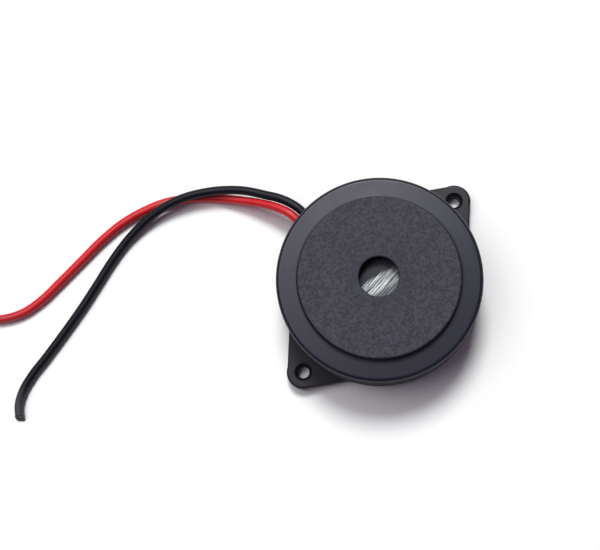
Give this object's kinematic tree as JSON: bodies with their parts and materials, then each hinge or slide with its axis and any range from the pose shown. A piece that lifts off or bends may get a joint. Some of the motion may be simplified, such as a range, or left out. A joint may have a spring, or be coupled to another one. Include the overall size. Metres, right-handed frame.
{
  "type": "piezo buzzer",
  "caption": "Round black piezo buzzer with a grained front plateau, a central sound hole over a metal diaphragm, diagonal mounting ears, and a red and a black lead.",
  "frame": {"origin": "centre of the base's mounting face", "axes": "+X along the line of the ear holes, +Y towards the side where the leads leave, +Z out of the front, towards the sound hole"},
  "size_m": [0.0994, 0.0872, 0.016],
  "materials": {
    "cover_plastic": "satin, with a grained plateau",
    "base_plastic": "satin",
    "plate_metal": "brushed and scratched",
    "piezo_ceramic": "matte",
    "silver": "matte silver print",
    "silicone": "soft, translucent white",
    "board_laminate": "paper laminate",
    "moulding_compound": "matte",
    "tinned_wire": "tinned",
    "ferrite": "matte",
    "enamelled_copper": "glossy enamel",
    "resistor_coat": "lacquered",
    "diode_glass": "clear, orange tint",
    "red_insulation": "smooth",
    "black_insulation": "smooth",
    "blue_insulation": "smooth",
    "solder": "satin",
    "stranded_copper": "tinned strands"
  },
  "bodies": {
    "root": {"front_cover": "cover_plastic", "base_case": "base_plastic", "diaphragm_plate": "plate_metal", "ceramic_disc": "piezo_ceramic", "drive_electrode": "silver", "feedback_electrode": "silver", "diaphragm_adhesive": "silicone", "circuit_board": "board_laminate", "transistor": "moulding_compound", "transistor_legs": "tinned_wire", "inductor_core": "ferrite", "inductor_winding": "enamelled_copper", "inductor_pins": "tinned_wire", "bias_resistor": "resistor_coat", "bias_resistor_leads": "tinned_wire", "feedback_resistor": "resistor_coat", "feedback_resistor_leads": "tinned_wire", "diode": "diode_glass", "diode_leads": "tinned_wire", "drive_wire": "red_insulation", "feedback_wire": "blue_insulation", "plate_wire": "black_insulation", "disc_solder": "solder", "board_solder": "solder", "red_lead": "red_insulation", "black_lead": "black_insulation", "red_lead_core": "stranded_copper", "black_lead_core": "stranded_copper", "lead_sealant": "silicone"}
  },
  "joints": []
}
